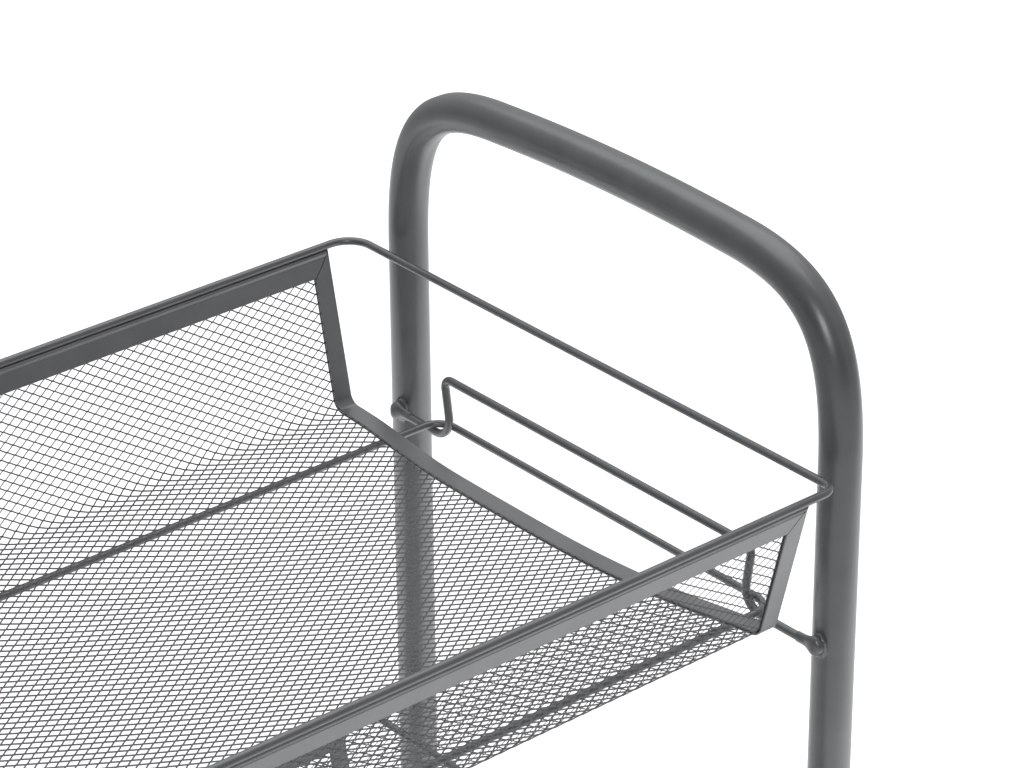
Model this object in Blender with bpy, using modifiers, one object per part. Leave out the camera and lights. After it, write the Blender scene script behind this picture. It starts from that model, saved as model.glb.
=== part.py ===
"""A rolling storage trolley: two bent-tube end frames, three wire-mesh baskets and four swivel castors.

Metres, +Z up. The origin is on the floor under the middle of the trolley. X runs along its length and -Y is
its front. Each basket is a mesh trough with open ends, a rim wire above it and a base wire under it. The base
wire rests on the low ends of a hanger bar welded across each end frame.
"""

import math

import bmesh
import bpy
from mathutils import Matrix, Vector
from mathutils.geometry import interpolate_bezier

MM = 0.001
GAP = 0.3 * MM

# Overall size
HEIGHT = 640 * MM
FRAME_SPACING = 445 * MM
POST_SPACING = 230 * MM

# End frames
TUBE_RADIUS = 7.5 * MM
TUBE_WALL = 1.0 * MM
POST_FOOT = 62 * MM
TOP_BAR_Z = HEIGHT - TUBE_RADIUS
ARCH_HALF = 60 * MM
ARCH_DROP = 1.9 * MM
BEND_FOOT_DROP = 68 * MM
BEND_RISE_DROP = 19 * MM
BEND_LEAN_Y = 101 * MM
BEND_LEAN_DROP = 3.6 * MM

# Baskets, measured down from the middle of the rim wire
RIM_BELOW_TOP_BAR = 66.2 * MM
TIER_PITCH = 210 * MM
RIM_RADIUS = 1.5 * MM
RIM_HALF_WIDTH = 128.9 * MM
RIM_TO_POST = 15.9 * MM
RIM_FRONT_CORNER = 5.5 * MM
RIM_BACK_CORNER = 10.5 * MM
BASE_RADIUS = 1.45 * MM
BASE_DROP = 66.3 * MM
BASE_HALF_WIDTH = 90.5 * MM
BASE_TO_POST = 5.8 * MM
BASE_CORNER = 8 * MM

# Mesh trough and the folded strips on its edges
MESH_THICKNESS = 0.8 * MM
TROUGH_TO_POST = 28 * MM
TROUGH_TOP_DROP = RIM_RADIUS + GAP
TROUGH_TOP_HALF = 128.4 * MM
TROUGH_BEND = 4 * MM
CRIMP_THICKNESS = 0.6 * MM
CRIMP_RAMP = 0.4 * MM
# The floor sags between the walls and its front edge sits higher: (y, drop) in mm, front wall to back wall
TROUGH_FLOOR = [(-114.5, 55.2), (-95, 58.1), (-70, 61.9), (-40, 64.9), (-12, 66.4), (58, 66.4), (80, 64.5), (98, 62.3), (115.9, 61.4)]
STRIP_SHEET = 0.5 * MM
STRIP_LEAF = MESH_THICKNESS / 2 + GAP + STRIP_SHEET / 2
HEM_DEPTH = 9.4 * MM
TRIM_WIDTH = 8 * MM

# Hanger bars
HANGER_RADIUS = 1.6 * MM
HANGER_TO_POST = TUBE_RADIUS + HANGER_RADIUS + GAP
HANGER_LOW_DROP = BASE_DROP + BASE_RADIUS + HANGER_RADIUS + GAP
HANGER_HIGH_DROP = 44.4 * MM
HANGER_LEG_FOOT = 79.5 * MM
HANGER_LEG_HEAD = 83.5 * MM
HANGER_FOOT_BEND = 8 * MM
HANGER_HEAD_BEND = 3.5 * MM

# Castors, in their own frame: the swivel axis is at x = 0 and the wheel trails towards +x
WHEEL_RADIUS = 23 * MM
WHEEL_HALF_WIDTH = 8.5 * MM
WHEEL_HUB_HALF = 9.2 * MM
WHEEL_TRAIL = 17 * MM
FORK_TOP = 57 * MM
FORK_BRIDGE = 50.5 * MM
FORK_HALF_WIDTH = 13 * MM
FORK_SLOT_HALF = 9.5 * MM
FORK_SLOT_TOP = 48 * MM
AXLE_RADIUS = 3 * MM
AXLE_HEAD_RADIUS = 4.8 * MM
AXLE_HEAD = 1.5 * MM
STEM_RADIUS = 4 * MM
STEM_COLLAR_RADIUS = 6.5 * MM
STEM_FOOT_RADIUS = 5.8 * MM
STEM_TOP = 88 * MM
PLUG_BOTTOM = 60 * MM
PLUG_TOP = 92 * MM
PIVOT_X = 36 * MM
PIVOT_Z = 44 * MM
PIN_RADIUS = 1.5 * MM
LEVER_HALF_WIDTH = 8 * MM

TIERS = {"top": 0, "middle": 1, "bottom": 2}
ENDS = {"left": -1, "right": 1}
SIDES = {"front": -1, "back": 1}
BRAKED_SIDE = "front"

FRAME_X = FRAME_SPACING / 2
POST_Y = POST_SPACING / 2
TROUGH_END = FRAME_X - TROUGH_TO_POST


def rim_height(tier):
    return TOP_BAR_Z - RIM_BELOW_TOP_BAR - TIERS[tier] * TIER_PITCH


def clear_scene():
    for obj in list(bpy.data.objects):
        bpy.data.objects.remove(obj, do_unlink=True)


def make_collection(name):
    collection = bpy.data.collections.new(name)
    bpy.context.scene.collection.children.link(collection)
    return collection


def make_material(name, colour, roughness, metallic):
    material = bpy.data.materials.new(name)
    material.use_nodes = True
    shader = material.node_tree.nodes["Principled BSDF"]
    shader.inputs["Base Color"].default_value = (*colour, 1)
    shader.inputs["Roughness"].default_value = roughness
    shader.inputs["Metallic"].default_value = metallic
    return material


# --- Outlines -------------------------------------------------------------------------------------------


def rounded(corners, closed, steps=5):
    """The 2D polyline through corners (x, y, radius), each corner turned into an arc of its own radius."""
    points = []
    count = len(corners)
    for index, (x, y, radius) in enumerate(corners):
        corner = Vector((x, y))
        if not closed and index in (0, count - 1):
            points.append(corner)
            continue
        before = (Vector(corners[index - 1][:2]) - corner).normalized()
        after = (Vector(corners[(index + 1) % count][:2]) - corner).normalized()
        half_angle = before.angle(after) / 2
        centre = corner + (before + after).normalized() * radius / math.sin(half_angle)
        start = corner + before * radius / math.tan(half_angle) - centre
        sweep = start.angle_signed(corner + after * radius / math.tan(half_angle) - centre)
        for step in range(steps + 1):
            points.append(centre + Matrix.Rotation(-sweep * step / steps, 2) @ start)
    return points


def tier_path(half_length, half_width, front_corner, back_corner):
    """A rounded rectangle, counter-clockwise seen from above."""
    corners = [
        (half_length, -half_width, front_corner),
        (half_length, half_width, back_corner),
        (-half_length, half_width, back_corner),
        (-half_length, -half_width, front_corner),
    ]
    return rounded(corners, closed=True)


def trough_section():
    """The (y, z) middle line of the trough from its front top edge to its back one, from the rim down."""
    front, *sag, back = [Vector((y * MM, -drop * MM)) for y, drop in TROUGH_FLOOR]
    front_top = Vector((-TROUGH_TOP_HALF, -TROUGH_TOP_DROP))
    back_top = Vector((TROUGH_TOP_HALF, -TROUGH_TOP_DROP))
    front_half = rounded([(*front_top, 0), (*front, TROUGH_BEND), (*sag[0], 0)], closed=False, steps=3)
    back_half = rounded([(*sag[-1], 0), (*back, TROUGH_BEND), (*back_top, 0)], closed=False, steps=3)
    return front_half + sag[1:-1] + back_half


def fold_section():
    """The (offset, depth) middle line of a sheet folded over an edge: two leaves joined by a half circle."""
    points = [(-STRIP_LEAF, 1)]
    for step in range(4):
        angle = math.pi * step / 3
        points.append((-STRIP_LEAF * math.cos(angle), -math.sin(angle)))
    points.append((STRIP_LEAF, 1))
    return points


# --- Solids ---------------------------------------------------------------------------------------------


def link(name, data, material):
    obj = bpy.data.objects.new(name, data)
    PARTS.objects.link(obj)
    data.materials.append(material)
    return obj


def shade(mesh):
    mesh.shade_smooth()
    mesh.set_sharp_from_angle(angle=math.radians(35))


def wire(name, points, radius, material, closed=False):
    """A round wire along a polyline."""
    curve = bpy.data.curves.new(name, "CURVE")
    curve.dimensions = "3D"
    curve.bevel_depth = radius
    curve.bevel_resolution = 2
    curve.use_fill_caps = not closed
    spline = curve.splines.new("POLY")
    spline.points.add(len(points) - 1)
    for point, place in zip(spline.points, points):
        point.co = (*place, 1)
    spline.use_cyclic_u = closed
    spline.use_smooth = True
    return link(name, curve, material)


def to_mesh(obj, name):
    """Swaps a curve object for a mesh object of the same shape, with its caps welded on."""
    graph = bpy.context.evaluated_depsgraph_get()
    mesh = bpy.data.meshes.new_from_object(obj.evaluated_get(graph))
    place = obj.matrix_world.copy()
    material = obj.data.materials[0]
    bpy.data.objects.remove(obj, do_unlink=True)
    shape = bmesh.new()
    shape.from_mesh(mesh)
    bmesh.ops.remove_doubles(shape, verts=shape.verts, dist=0.01 * MM)
    shape.to_mesh(mesh)
    shape.free()
    mesh.materials.clear()
    solid = link(name, mesh, material)
    solid.matrix_world = place
    return solid


def slab(name, outline, half_thickness, material):
    """A flat outline in x and z, extruded to both sides along y."""
    curve = bpy.data.curves.new(name, "CURVE")
    curve.dimensions = "2D"
    curve.fill_mode = "BOTH"
    curve.extrude = half_thickness
    spline = curve.splines.new("POLY")
    spline.points.add(len(outline) - 1)
    for point, place in zip(spline.points, outline):
        point.co = (place[0], place[1], 0, 1)
    spline.use_cyclic_u = True
    flat = link(name + "_outline", curve, material)
    flat.rotation_euler = (math.pi / 2, 0, 0)
    bpy.context.view_layer.update()
    solid = to_mesh(flat, name)
    solid.data.transform(solid.matrix_world)
    solid.matrix_world = Matrix.Identity(4)
    shade(solid.data)
    return solid


def turned(name, profile, steps, material):
    """A closed (radius, height) profile turned about z, listed down its outer side."""
    mesh = bpy.data.meshes.new(name)
    shape = bmesh.new()
    corners = [shape.verts.new((radius, 0, height)) for radius, height in profile]
    for first, second in zip(corners, corners[1:]):
        shape.edges.new((first, second))
    if profile[0][0] > 0:
        shape.edges.new((corners[-1], corners[0]))
    shape.to_mesh(mesh)
    shape.free()
    obj = link(name, mesh, material)
    screw = obj.modifiers.new("Turn", "SCREW")
    screw.steps = steps
    screw.render_steps = steps
    screw.use_merge_vertices = True
    screw.merge_threshold = 0.01 * MM
    screw.use_smooth_shade = True
    return obj


def sheet(name, rows, thickness, material):
    """An open grid surface with Solidify. rows holds equally long lists of points."""
    mesh = bpy.data.meshes.new(name)
    shape = bmesh.new()
    grid = [[shape.verts.new(point) for point in row] for row in rows]
    for upper, lower in zip(grid, grid[1:]):
        for corner in range(len(upper) - 1):
            shape.faces.new((upper[corner], lower[corner], lower[corner + 1], upper[corner + 1]))
    shape.to_mesh(mesh)
    shape.free()
    shade(mesh)
    obj = link(name, mesh, material)
    solidify = obj.modifiers.new("Sheet", "SOLIDIFY")
    solidify.thickness = thickness
    solidify.offset = 0
    return obj


def cutter(name, obj):
    """Turns a solid into a hidden cutting tool."""
    PARTS.objects.unlink(obj)
    CUTTERS.objects.link(obj)
    obj.name = name
    obj.hide_render = True
    obj.display_type = "WIRE"
    return obj


def cylinder_cutter(name, radius, half_length, place, axis="Z"):
    bpy.ops.mesh.primitive_cylinder_add(vertices=16, radius=radius, depth=2 * half_length)
    obj = bpy.context.object
    obj.data.materials.append(PLASTIC)
    for owner in list(obj.users_collection):
        owner.objects.unlink(obj)
    PARTS.objects.link(obj)
    obj.location = place
    if axis == "Y":
        obj.rotation_euler = (math.pi / 2, 0, 0)
    return cutter(name, obj)


def cut(obj, tool, operation="DIFFERENCE"):
    boolean = obj.modifiers.new(tool.name, "BOOLEAN")
    boolean.operation = operation
    boolean.object = tool
    return obj


# --- End frames -----------------------------------------------------------------------------------------


def frame_path(x):
    """Up the front post, over the slightly arched top bar and down the back post."""
    foot = Vector((x, POST_Y, POST_FOOT))
    bend_start = Vector((x, POST_Y, TOP_BAR_Z - BEND_FOOT_DROP))
    rise = Vector((x, POST_Y, TOP_BAR_Z - BEND_RISE_DROP))
    lean = Vector((x, BEND_LEAN_Y, TOP_BAR_Z - BEND_LEAN_DROP))
    shoulder = Vector((x, ARCH_HALF, TOP_BAR_Z - ARCH_DROP))
    crown = Vector((x, 0, TOP_BAR_Z))
    mid_arch = Vector((x, ARCH_HALF / 2, TOP_BAR_Z - ARCH_DROP / 4))
    back = [foot, *interpolate_bezier(bend_start, rise, lean, shoulder, 11), mid_arch]
    front = [Vector((x, -point.y, point.z)) for point in back]
    return front + [crown] + back[::-1]


def build_end_frame(end):
    name = "end_frame_" + end
    bar = wire(name + "_line", frame_path(ENDS[end] * FRAME_X), TUBE_RADIUS, GREY)
    bar.data.bevel_resolution = 4
    bar.data.use_fill_caps = False
    bpy.context.view_layer.update()
    tube = to_mesh(bar, name)
    shade(tube.data)
    solidify = tube.modifiers.new("Tube wall", "SOLIDIFY")
    solidify.thickness = TUBE_WALL
    solidify.offset = -1


def build_hanger_bar(tier, end):
    low = rim_height(tier) - HANGER_LOW_DROP
    high = rim_height(tier) - HANGER_HIGH_DROP
    corners = [
        (-POST_Y, low, 0),
        (-HANGER_LEG_FOOT, low, HANGER_FOOT_BEND),
        (-HANGER_LEG_HEAD, high, HANGER_HEAD_BEND),
        (HANGER_LEG_HEAD, high, HANGER_HEAD_BEND),
        (HANGER_LEG_FOOT, low, HANGER_FOOT_BEND),
        (POST_Y, low, 0),
    ]
    x = ENDS[end] * (FRAME_X - HANGER_TO_POST)
    points = [(x, point.x, point.y) for point in rounded(corners, closed=False, steps=4)]
    wire(f"hanger_bar_{tier}_{end}", points, HANGER_RADIUS, GREY)


# --- Baskets --------------------------------------------------------------------------------------------


def build_rim_wire(tier):
    path = tier_path(FRAME_X - RIM_TO_POST, RIM_HALF_WIDTH, RIM_FRONT_CORNER, RIM_BACK_CORNER)
    points = [(point.x, point.y, rim_height(tier)) for point in path]
    wire("rim_wire_" + tier, points, RIM_RADIUS, GREY, closed=True)


def build_base_wire(tier):
    path = tier_path(FRAME_X - BASE_TO_POST, BASE_HALF_WIDTH, BASE_CORNER, BASE_CORNER)
    points = [(point.x, point.y, rim_height(tier) - BASE_DROP) for point in path]
    wire("base_wire_" + tier, points, BASE_RADIUS, GREY, closed=True)


def section_normals(section):
    """The unit normals of a section line, pointing out of the trough."""
    normals = []
    for index in range(len(section)):
        before = section[max(index - 1, 0)]
        after = section[min(index + 1, len(section) - 1)]
        along = (after - before).normalized()
        normals.append(Vector((along.y, -along.x)))
    return normals


def wall_down(section, side):
    """The top corner of the trough's front or back wall, its unit direction down and its outward normal."""
    top, next_point = (section[0], section[1]) if side == "front" else (section[-1], section[-2])
    down = (next_point - top).normalized()
    outward = Vector((-down.y, down.x)) if side == "back" else Vector((down.y, -down.x))
    return top, down, outward


def build_trough(tier):
    """The mesh sheet. Its edges stop inside the folded strips, and the end trims press it a little thinner."""
    section = trough_section()
    edge = STRIP_LEAF + STRIP_SHEET / 2
    for side, index in (("front", 0), ("back", -1)):
        top, down, _ = wall_down(section, side)
        section[index] = top + down * edge
    end = TROUGH_END - edge
    open_end = TROUGH_END - TRIM_WIDTH - GAP
    pressed_end = open_end + CRIMP_RAMP
    height = rim_height(tier)
    columns = (-end, -pressed_end, -open_end, open_end, pressed_end, end)
    rows = [[(x, point.x, height + point.y) for point in section] for x in columns]
    mesh = sheet("basket_mesh_" + tier, rows, MESH_THICKNESS, GREY)
    full_thickness = mesh.vertex_groups.new(name="open mesh")
    full_thickness.add(list(range(2 * len(section), 4 * len(section))), 1, "REPLACE")
    mesh.modifiers["Sheet"].vertex_group = full_thickness.name
    mesh.modifiers["Sheet"].thickness_vertex_group = CRIMP_THICKNESS / MESH_THICKNESS


def build_hem(tier, side):
    """A strip folded over the long top edge, with ends mitred at the corners of the trough."""
    top, down, outward = wall_down(trough_section(), side)
    edge = STRIP_LEAF + STRIP_SHEET / 2
    rows = []
    for end in (-1, 1):
        row = []
        for offset, depth in fold_section():
            if depth > 0:
                depth = HEM_DEPTH
            else:
                depth = edge + depth * STRIP_LEAF
            point = top + down * depth + outward * offset
            mitre = depth * TRIM_WIDTH / HEM_DEPTH + 2 * GAP
            row.append((end * (TROUGH_END - mitre), point.x, rim_height(tier) + point.y))
        rows.append(row)
    sheet(f"hem_strip_{side}_{tier}", rows, STRIP_SHEET, GREY)


def build_end_trim(tier, end):
    """A strip folded over the open end: down one wall, across the floor and up the other wall."""
    section = trough_section()
    normals = section_normals(section)
    edge = STRIP_LEAF + STRIP_SHEET / 2
    rows = []
    for index, (place, normal) in enumerate(zip(section, normals)):
        row = []
        for offset, depth in fold_section():
            if depth > 0:
                depth = TRIM_WIDTH
            else:
                depth = edge + depth * STRIP_LEAF
            point = place
            if index in (0, len(section) - 1):
                _, down, _ = wall_down(section, "front" if index == 0 else "back")
                point = place + down * (depth * HEM_DEPTH / TRIM_WIDTH + 2 * GAP)
            point = point + normal * offset
            row.append((ENDS[end] * (TROUGH_END - depth), point.x, rim_height(tier) + point.y))
        rows.append(row)
    sheet(f"end_trim_{end}_{tier}", rows, STRIP_SHEET, GREY)


# --- Castors --------------------------------------------------------------------------------------------


def wheel_profile():
    outer = [
        (AXLE_RADIUS + GAP, WHEEL_HUB_HALF),
        (6.5 * MM, WHEEL_HUB_HALF),
        (7.2 * MM, 6.5 * MM),
        (16.5 * MM, 6.5 * MM),
        (17.5 * MM, WHEEL_HALF_WIDTH),
        (20.5 * MM, WHEEL_HALF_WIDTH),
        (WHEEL_RADIUS - 0.6 * MM, WHEEL_HALF_WIDTH - 1.6 * MM),
        (WHEEL_RADIUS, WHEEL_HALF_WIDTH - 4.5 * MM),
    ]
    return outer + [(radius, -height) for radius, height in reversed(outer)]


def axle_profile():
    shaft = FORK_HALF_WIDTH + GAP
    outer = [
        (0, shaft + AXLE_HEAD),
        (AXLE_HEAD_RADIUS * 0.6, shaft + AXLE_HEAD),
        (AXLE_HEAD_RADIUS, shaft + AXLE_HEAD * 0.4),
        (AXLE_HEAD_RADIUS, shaft),
        (AXLE_RADIUS, shaft),
    ]
    return outer + [(radius, -height) for radius, height in reversed(outer)]


def stem_profile():
    return [
        (0, STEM_TOP),
        (STEM_RADIUS - 1 * MM, STEM_TOP),
        (STEM_RADIUS, STEM_TOP - 1 * MM),
        (STEM_RADIUS, PLUG_BOTTOM - GAP),
        (STEM_COLLAR_RADIUS, PLUG_BOTTOM - GAP),
        (STEM_COLLAR_RADIUS, FORK_TOP + GAP),
        (STEM_RADIUS, FORK_TOP + GAP),
        (STEM_RADIUS, FORK_BRIDGE - GAP),
        (STEM_FOOT_RADIUS, FORK_BRIDGE - GAP),
        (STEM_FOOT_RADIUS, FORK_BRIDGE - 1.6 * MM),
        (0, FORK_BRIDGE - 1.6 * MM),
    ]


def plug_profile():
    inside = TUBE_RADIUS - TUBE_WALL - GAP
    return [
        (STEM_RADIUS + GAP, PLUG_TOP),
        (inside - 1 * MM, PLUG_TOP),
        (inside, PLUG_TOP - 2 * MM),
        (inside, POST_FOOT - GAP),
        (TUBE_RADIUS, POST_FOOT - GAP),
        (TUBE_RADIUS, PLUG_BOTTOM),
        (STEM_RADIUS + GAP, PLUG_BOTTOM),
    ]


def fork_outline(braked):
    """The side view of the fork: a bridge over the wheel, cheeks down to the axle and, if braked, a lug."""
    rear = [(25.5, 46, 6)]
    if braked:
        rear = [(32, 53, 4), (42.5, 46, 4.5), (38, 38, 4), (25.5, 33, 4)]
    corners = [(-7.5, 57, 2.5), (14, 57, 4), *rear, (25.5, 15, 8), (8.5, 15, 8), (-7.5, 45, 6)]
    return rounded([(x * MM, z * MM, radius * MM) for x, z, radius in corners], closed=True, steps=4)


def lever_outline():
    """The side view of the brake lever: a pedal, a boss round the pin and a shoe that points at the tread."""
    corners = [
        (32.5, 47, 2.5),
        (38, 48, 4),
        (58, 53, 1.2),
        (59, 49.5, 1.2),
        (41, 44.5, 3),
        (38.2, 39.2, 1),
        (34.8, 39.2, 1),
        (32.2, 43, 2),
    ]
    return rounded([(x * MM, z * MM, radius * MM) for x, z, radius in corners], closed=True, steps=3)


def pin_profile():
    half = FORK_HALF_WIDTH
    return [(0, half), (PIN_RADIUS, half), (PIN_RADIUS, -half), (0, -half)]


def build_fork(name, braked):
    fork = slab(name, fork_outline(braked), FORK_HALF_WIDTH, PLASTIC)
    slot = [(-12, 12), (44.5, 12), (44.5, 54.5), (27, 54.5), (27, FORK_SLOT_TOP / MM), (-12, FORK_SLOT_TOP / MM)]
    slot_outline = [Vector((x * MM, z * MM)) for x, z in slot]
    cut(fork, cutter(name + "_slot_cut", slab(name + "_slot", slot_outline, FORK_SLOT_HALF, PLASTIC)))
    cut(fork, cylinder_cutter(name + "_stem_cut", STEM_RADIUS + GAP, 10 * MM, (0, 0, FORK_TOP)))
    recess = (0, 0, FORK_BRIDGE - 4 * MM)
    cut(fork, cylinder_cutter(name + "_recess_cut", STEM_FOOT_RADIUS + 2 * GAP, 4 * MM, recess))
    axle_place = (WHEEL_TRAIL, 0, WHEEL_RADIUS)
    cut(fork, cylinder_cutter(name + "_axle_cut", AXLE_RADIUS + GAP, 20 * MM, axle_place, "Y"))
    if braked:
        pin_place = (PIVOT_X, 0, PIVOT_Z)
        cut(fork, cylinder_cutter(name + "_pin_cut", PIN_RADIUS + GAP, 20 * MM, pin_place, "Y"))
    return fork


def bake(obj):
    """Applies a solid's modifiers and deletes the cutters that they used."""
    graph = bpy.context.evaluated_depsgraph_get()
    mesh = bpy.data.meshes.new_from_object(obj.evaluated_get(graph))
    tools = [modifier.object for modifier in obj.modifiers if modifier.type == "BOOLEAN"]
    obj.modifiers.clear()
    obj.data = mesh
    for tool in tools:
        bpy.data.objects.remove(tool, do_unlink=True)
    shade(mesh)
    return obj


def build_lever(name):
    lever = slab(name, lever_outline(), LEVER_HALF_WIDTH, PLASTIC)
    pin_place = (PIVOT_X, 0, PIVOT_Z)
    cut(lever, cylinder_cutter(name + "_bore_cut", PIN_RADIUS + GAP, 20 * MM, pin_place, "Y"))
    return bake(lever)


def empty(name, place, parent=None):
    obj = bpy.data.objects.new(name, None)
    PARTS.objects.link(obj)
    obj.parent = parent
    obj.location = place
    return obj


def hang_on(obj, parent, place=(0, 0, 0), along_y=False):
    """Parents a solid to an empty. The solid's own z axis turns to y if asked."""
    obj.parent = parent
    obj.location = place
    if along_y:
        obj.rotation_euler = (math.pi / 2, 0, 0)
    return obj


def build_castor(side, end):
    """One castor under a post. It trails inwards, so its wheel stays under the basket."""
    where = f"{side}_{end}"
    braked = side == BRAKED_SIDE
    corner = (ENDS[end] * FRAME_X, SIDES[side] * POST_Y, 0)
    fixed = empty("castor_seat_" + where, corner)
    hang_on(turned("tube_plug_" + where, plug_profile(), 16, PLASTIC), fixed)
    hang_on(turned("castor_stem_" + where, stem_profile(), 16, STEEL), fixed)

    swivel = empty("castor_swivel_" + where, corner)
    if end == "right":
        swivel.rotation_euler = (0, 0, math.pi)
    hang_on(bake(build_fork("castor_fork_" + where, braked)), swivel)
    centre = (WHEEL_TRAIL, 0, WHEEL_RADIUS)
    hang_on(turned("castor_axle_" + where, axle_profile(), 16, STEEL), swivel, centre, along_y=True)
    hang_on(turned("castor_wheel_" + where, wheel_profile(), 24, RUBBER), swivel, centre, along_y=True)
    if braked:
        pivot = (PIVOT_X, 0, PIVOT_Z)
        hang_on(turned("brake_pin_" + where, pin_profile(), 12, STEEL), swivel, pivot, along_y=True)
        hinge = empty("brake_hinge_" + where, pivot, swivel)
        back_to_swivel = tuple(-value for value in pivot)
        hang_on(build_lever("brake_lever_" + where), hinge, back_to_swivel)


# --- The trolley ----------------------------------------------------------------------------------------

clear_scene()
PARTS = make_collection("rolling_mesh_trolley")
CUTTERS = make_collection("cutters")
GREY = make_material("grey_powder_coat", (0.155, 0.16, 0.165), 0.45, 0.2)
PLASTIC = make_material("black_plastic", (0.02, 0.02, 0.022), 0.5, 0.0)
RUBBER = make_material("grey_tread", (0.07, 0.07, 0.075), 0.65, 0.0)
STEEL = make_material("zinc_steel", (0.6, 0.61, 0.62), 0.3, 1.0)

for end_name in ENDS:
    build_end_frame(end_name)
for tier_name in TIERS:
    build_trough(tier_name)
    build_rim_wire(tier_name)
    build_base_wire(tier_name)
    for side_name in SIDES:
        build_hem(tier_name, side_name)
    for end_name in ENDS:
        build_end_trim(tier_name, end_name)
        build_hanger_bar(tier_name, end_name)
for side_name in SIDES:
    for end_name in ENDS:
        build_castor(side_name, end_name)
bpy.context.view_layer.update()
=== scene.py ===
# %% [markdown]
# # A rolling mesh trolley
# This script finishes a small kitchen trolley: bent steel tube at both ends, three baskets of diamond
# mesh between them and four little castors. The CAD model comes in first as a fixed frame. Every
# piece made here is placed from the frame's own boxes, so that nothing has to be fitted by eye.

# %% Load the frame
import math

import bmesh
import bpy
import numpy as np
from mathutils import Matrix, Vector, noise
from mathutils.geometry import interpolate_bezier


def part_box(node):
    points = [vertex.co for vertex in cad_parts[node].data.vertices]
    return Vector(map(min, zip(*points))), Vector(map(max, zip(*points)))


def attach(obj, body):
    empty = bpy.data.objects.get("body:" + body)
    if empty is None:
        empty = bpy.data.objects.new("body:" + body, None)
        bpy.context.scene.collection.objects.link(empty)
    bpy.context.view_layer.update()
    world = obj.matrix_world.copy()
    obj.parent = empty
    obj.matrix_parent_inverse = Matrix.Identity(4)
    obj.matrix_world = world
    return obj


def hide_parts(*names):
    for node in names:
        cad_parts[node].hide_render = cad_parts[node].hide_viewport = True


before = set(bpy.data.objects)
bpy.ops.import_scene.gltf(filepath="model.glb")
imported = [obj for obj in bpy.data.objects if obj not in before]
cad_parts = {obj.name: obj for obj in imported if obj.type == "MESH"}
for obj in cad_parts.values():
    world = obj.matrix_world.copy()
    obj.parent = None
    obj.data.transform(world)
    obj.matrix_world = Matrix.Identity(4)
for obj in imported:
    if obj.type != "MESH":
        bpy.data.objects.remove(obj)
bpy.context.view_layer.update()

MM = 0.001

# %% [markdown]
# ## The camera
# The view is a close-up of one top corner, from the front left and a little above, through a long
# lens. A long lens keeps the two posts almost parallel. The camera is placed from the right end
# frame and the height of the top rim wire, and then turned in three plain steps: tilt, turn and a
# very small roll.

# %% Camera
rim_low, rim_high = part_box("rim_wire_top")
post_low, post_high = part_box("end_frame_right")
frame_x = (post_low.x + post_high.x) / 2
rim_z = (rim_low.z + rim_high.z) / 2

LENS = 137.6
SENSOR_WIDTH = 36
FARTHEST_SEEN = 30
LEFT_OF_FRAME = 0.8285
IN_FRONT = 0.9226
OVER_RIM = 0.6346
TURN, TILT, ROLL = -40.27, 62.27, -0.39

camera_data = bpy.data.cameras.new("camera")
camera_data.lens = LENS
camera_data.sensor_width = SENSOR_WIDTH
camera_data.clip_end = FARTHEST_SEEN
camera = bpy.data.objects.new("camera", camera_data)
bpy.context.scene.collection.objects.link(camera)
camera_place = Vector((frame_x - LEFT_OF_FRAME, -IN_FRONT, rim_z + OVER_RIM))
turn = Matrix.Rotation(math.radians(TURN), 4, "Z")
tilt = Matrix.Rotation(math.radians(TILT), 4, "X")
roll = Matrix.Rotation(math.radians(ROLL), 4, "Z")
camera.matrix_world = Matrix.Translation(camera_place) @ turn @ tilt @ roll
bpy.context.scene.camera = camera
print("camera at", tuple(round(value, 3) for value in camera_place))

# %% [markdown]
# ## Floor and light
# The trolley stands on a plain pale floor. A lamp bright enough to make the floor white would also
# wash out the thin wires, so the floor carries a painted pool of light instead: it glows by itself,
# though it is no lamp, and the glow fades further out. Every finish below is a small network of
# shader nodes, and a few helpers keep each one short.


# %% Node helpers
def add_node(tree, kind, **inputs):
    """Adds a shader node and sets its inputs by name, with _ for a space."""
    node = tree.nodes.new(kind)
    for name, value in inputs.items():
        node.inputs[name.replace("_", " ")].default_value = value
    return node


def new_material(name):
    """A material with a Principled shader, and its node tree."""
    material = bpy.data.materials.new(name)
    material.use_nodes = True
    return material, material.node_tree, material.node_tree.nodes["Principled BSDF"]


def object_noise(tree, scale, detail=2.0, roughness=0.5):
    """Noise that is fixed to the piece. scale counts features per metre."""
    place = tree.nodes.new("ShaderNodeTexCoord")
    texture = add_node(tree, "ShaderNodeTexNoise", Scale=scale, Detail=detail, Roughness=roughness)
    tree.links.new(place.outputs["Object"], texture.inputs["Vector"])
    return texture


def ramp(tree, source, low, high, start=0.3, end=0.7):
    """Turns a 0 to 1 value into a colour between low and high."""
    node = tree.nodes.new("ShaderNodeValToRGB")
    node.color_ramp.elements[0].position = start
    node.color_ramp.elements[0].color = (*low, 1)
    node.color_ramp.elements[1].position = end
    node.color_ramp.elements[1].color = (*high, 1)
    tree.links.new(source, node.inputs["Fac"])
    return node.outputs["Color"]


def value_range(tree, source, low, high):
    """Spreads a 0 to 1 value between low and high."""
    node = add_node(tree, "ShaderNodeMapRange")
    node.inputs["To Min"].default_value = low
    node.inputs["To Max"].default_value = high
    tree.links.new(source, node.inputs["Value"])
    return node.outputs["Result"]


def bump(tree, shader, height, distance, strength):
    """Raises the surface by a height value, over a distance in metres."""
    node = add_node(tree, "ShaderNodeBump", Distance=distance, Strength=strength)
    tree.links.new(height, node.inputs["Height"])
    tree.links.new(node.outputs["Normal"], shader.inputs["Normal"])


print("node helpers ready")

# %% Floor sheet
FLOOR_HALF = 9
FLOOR_GAP = 0.2 * MM

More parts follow.
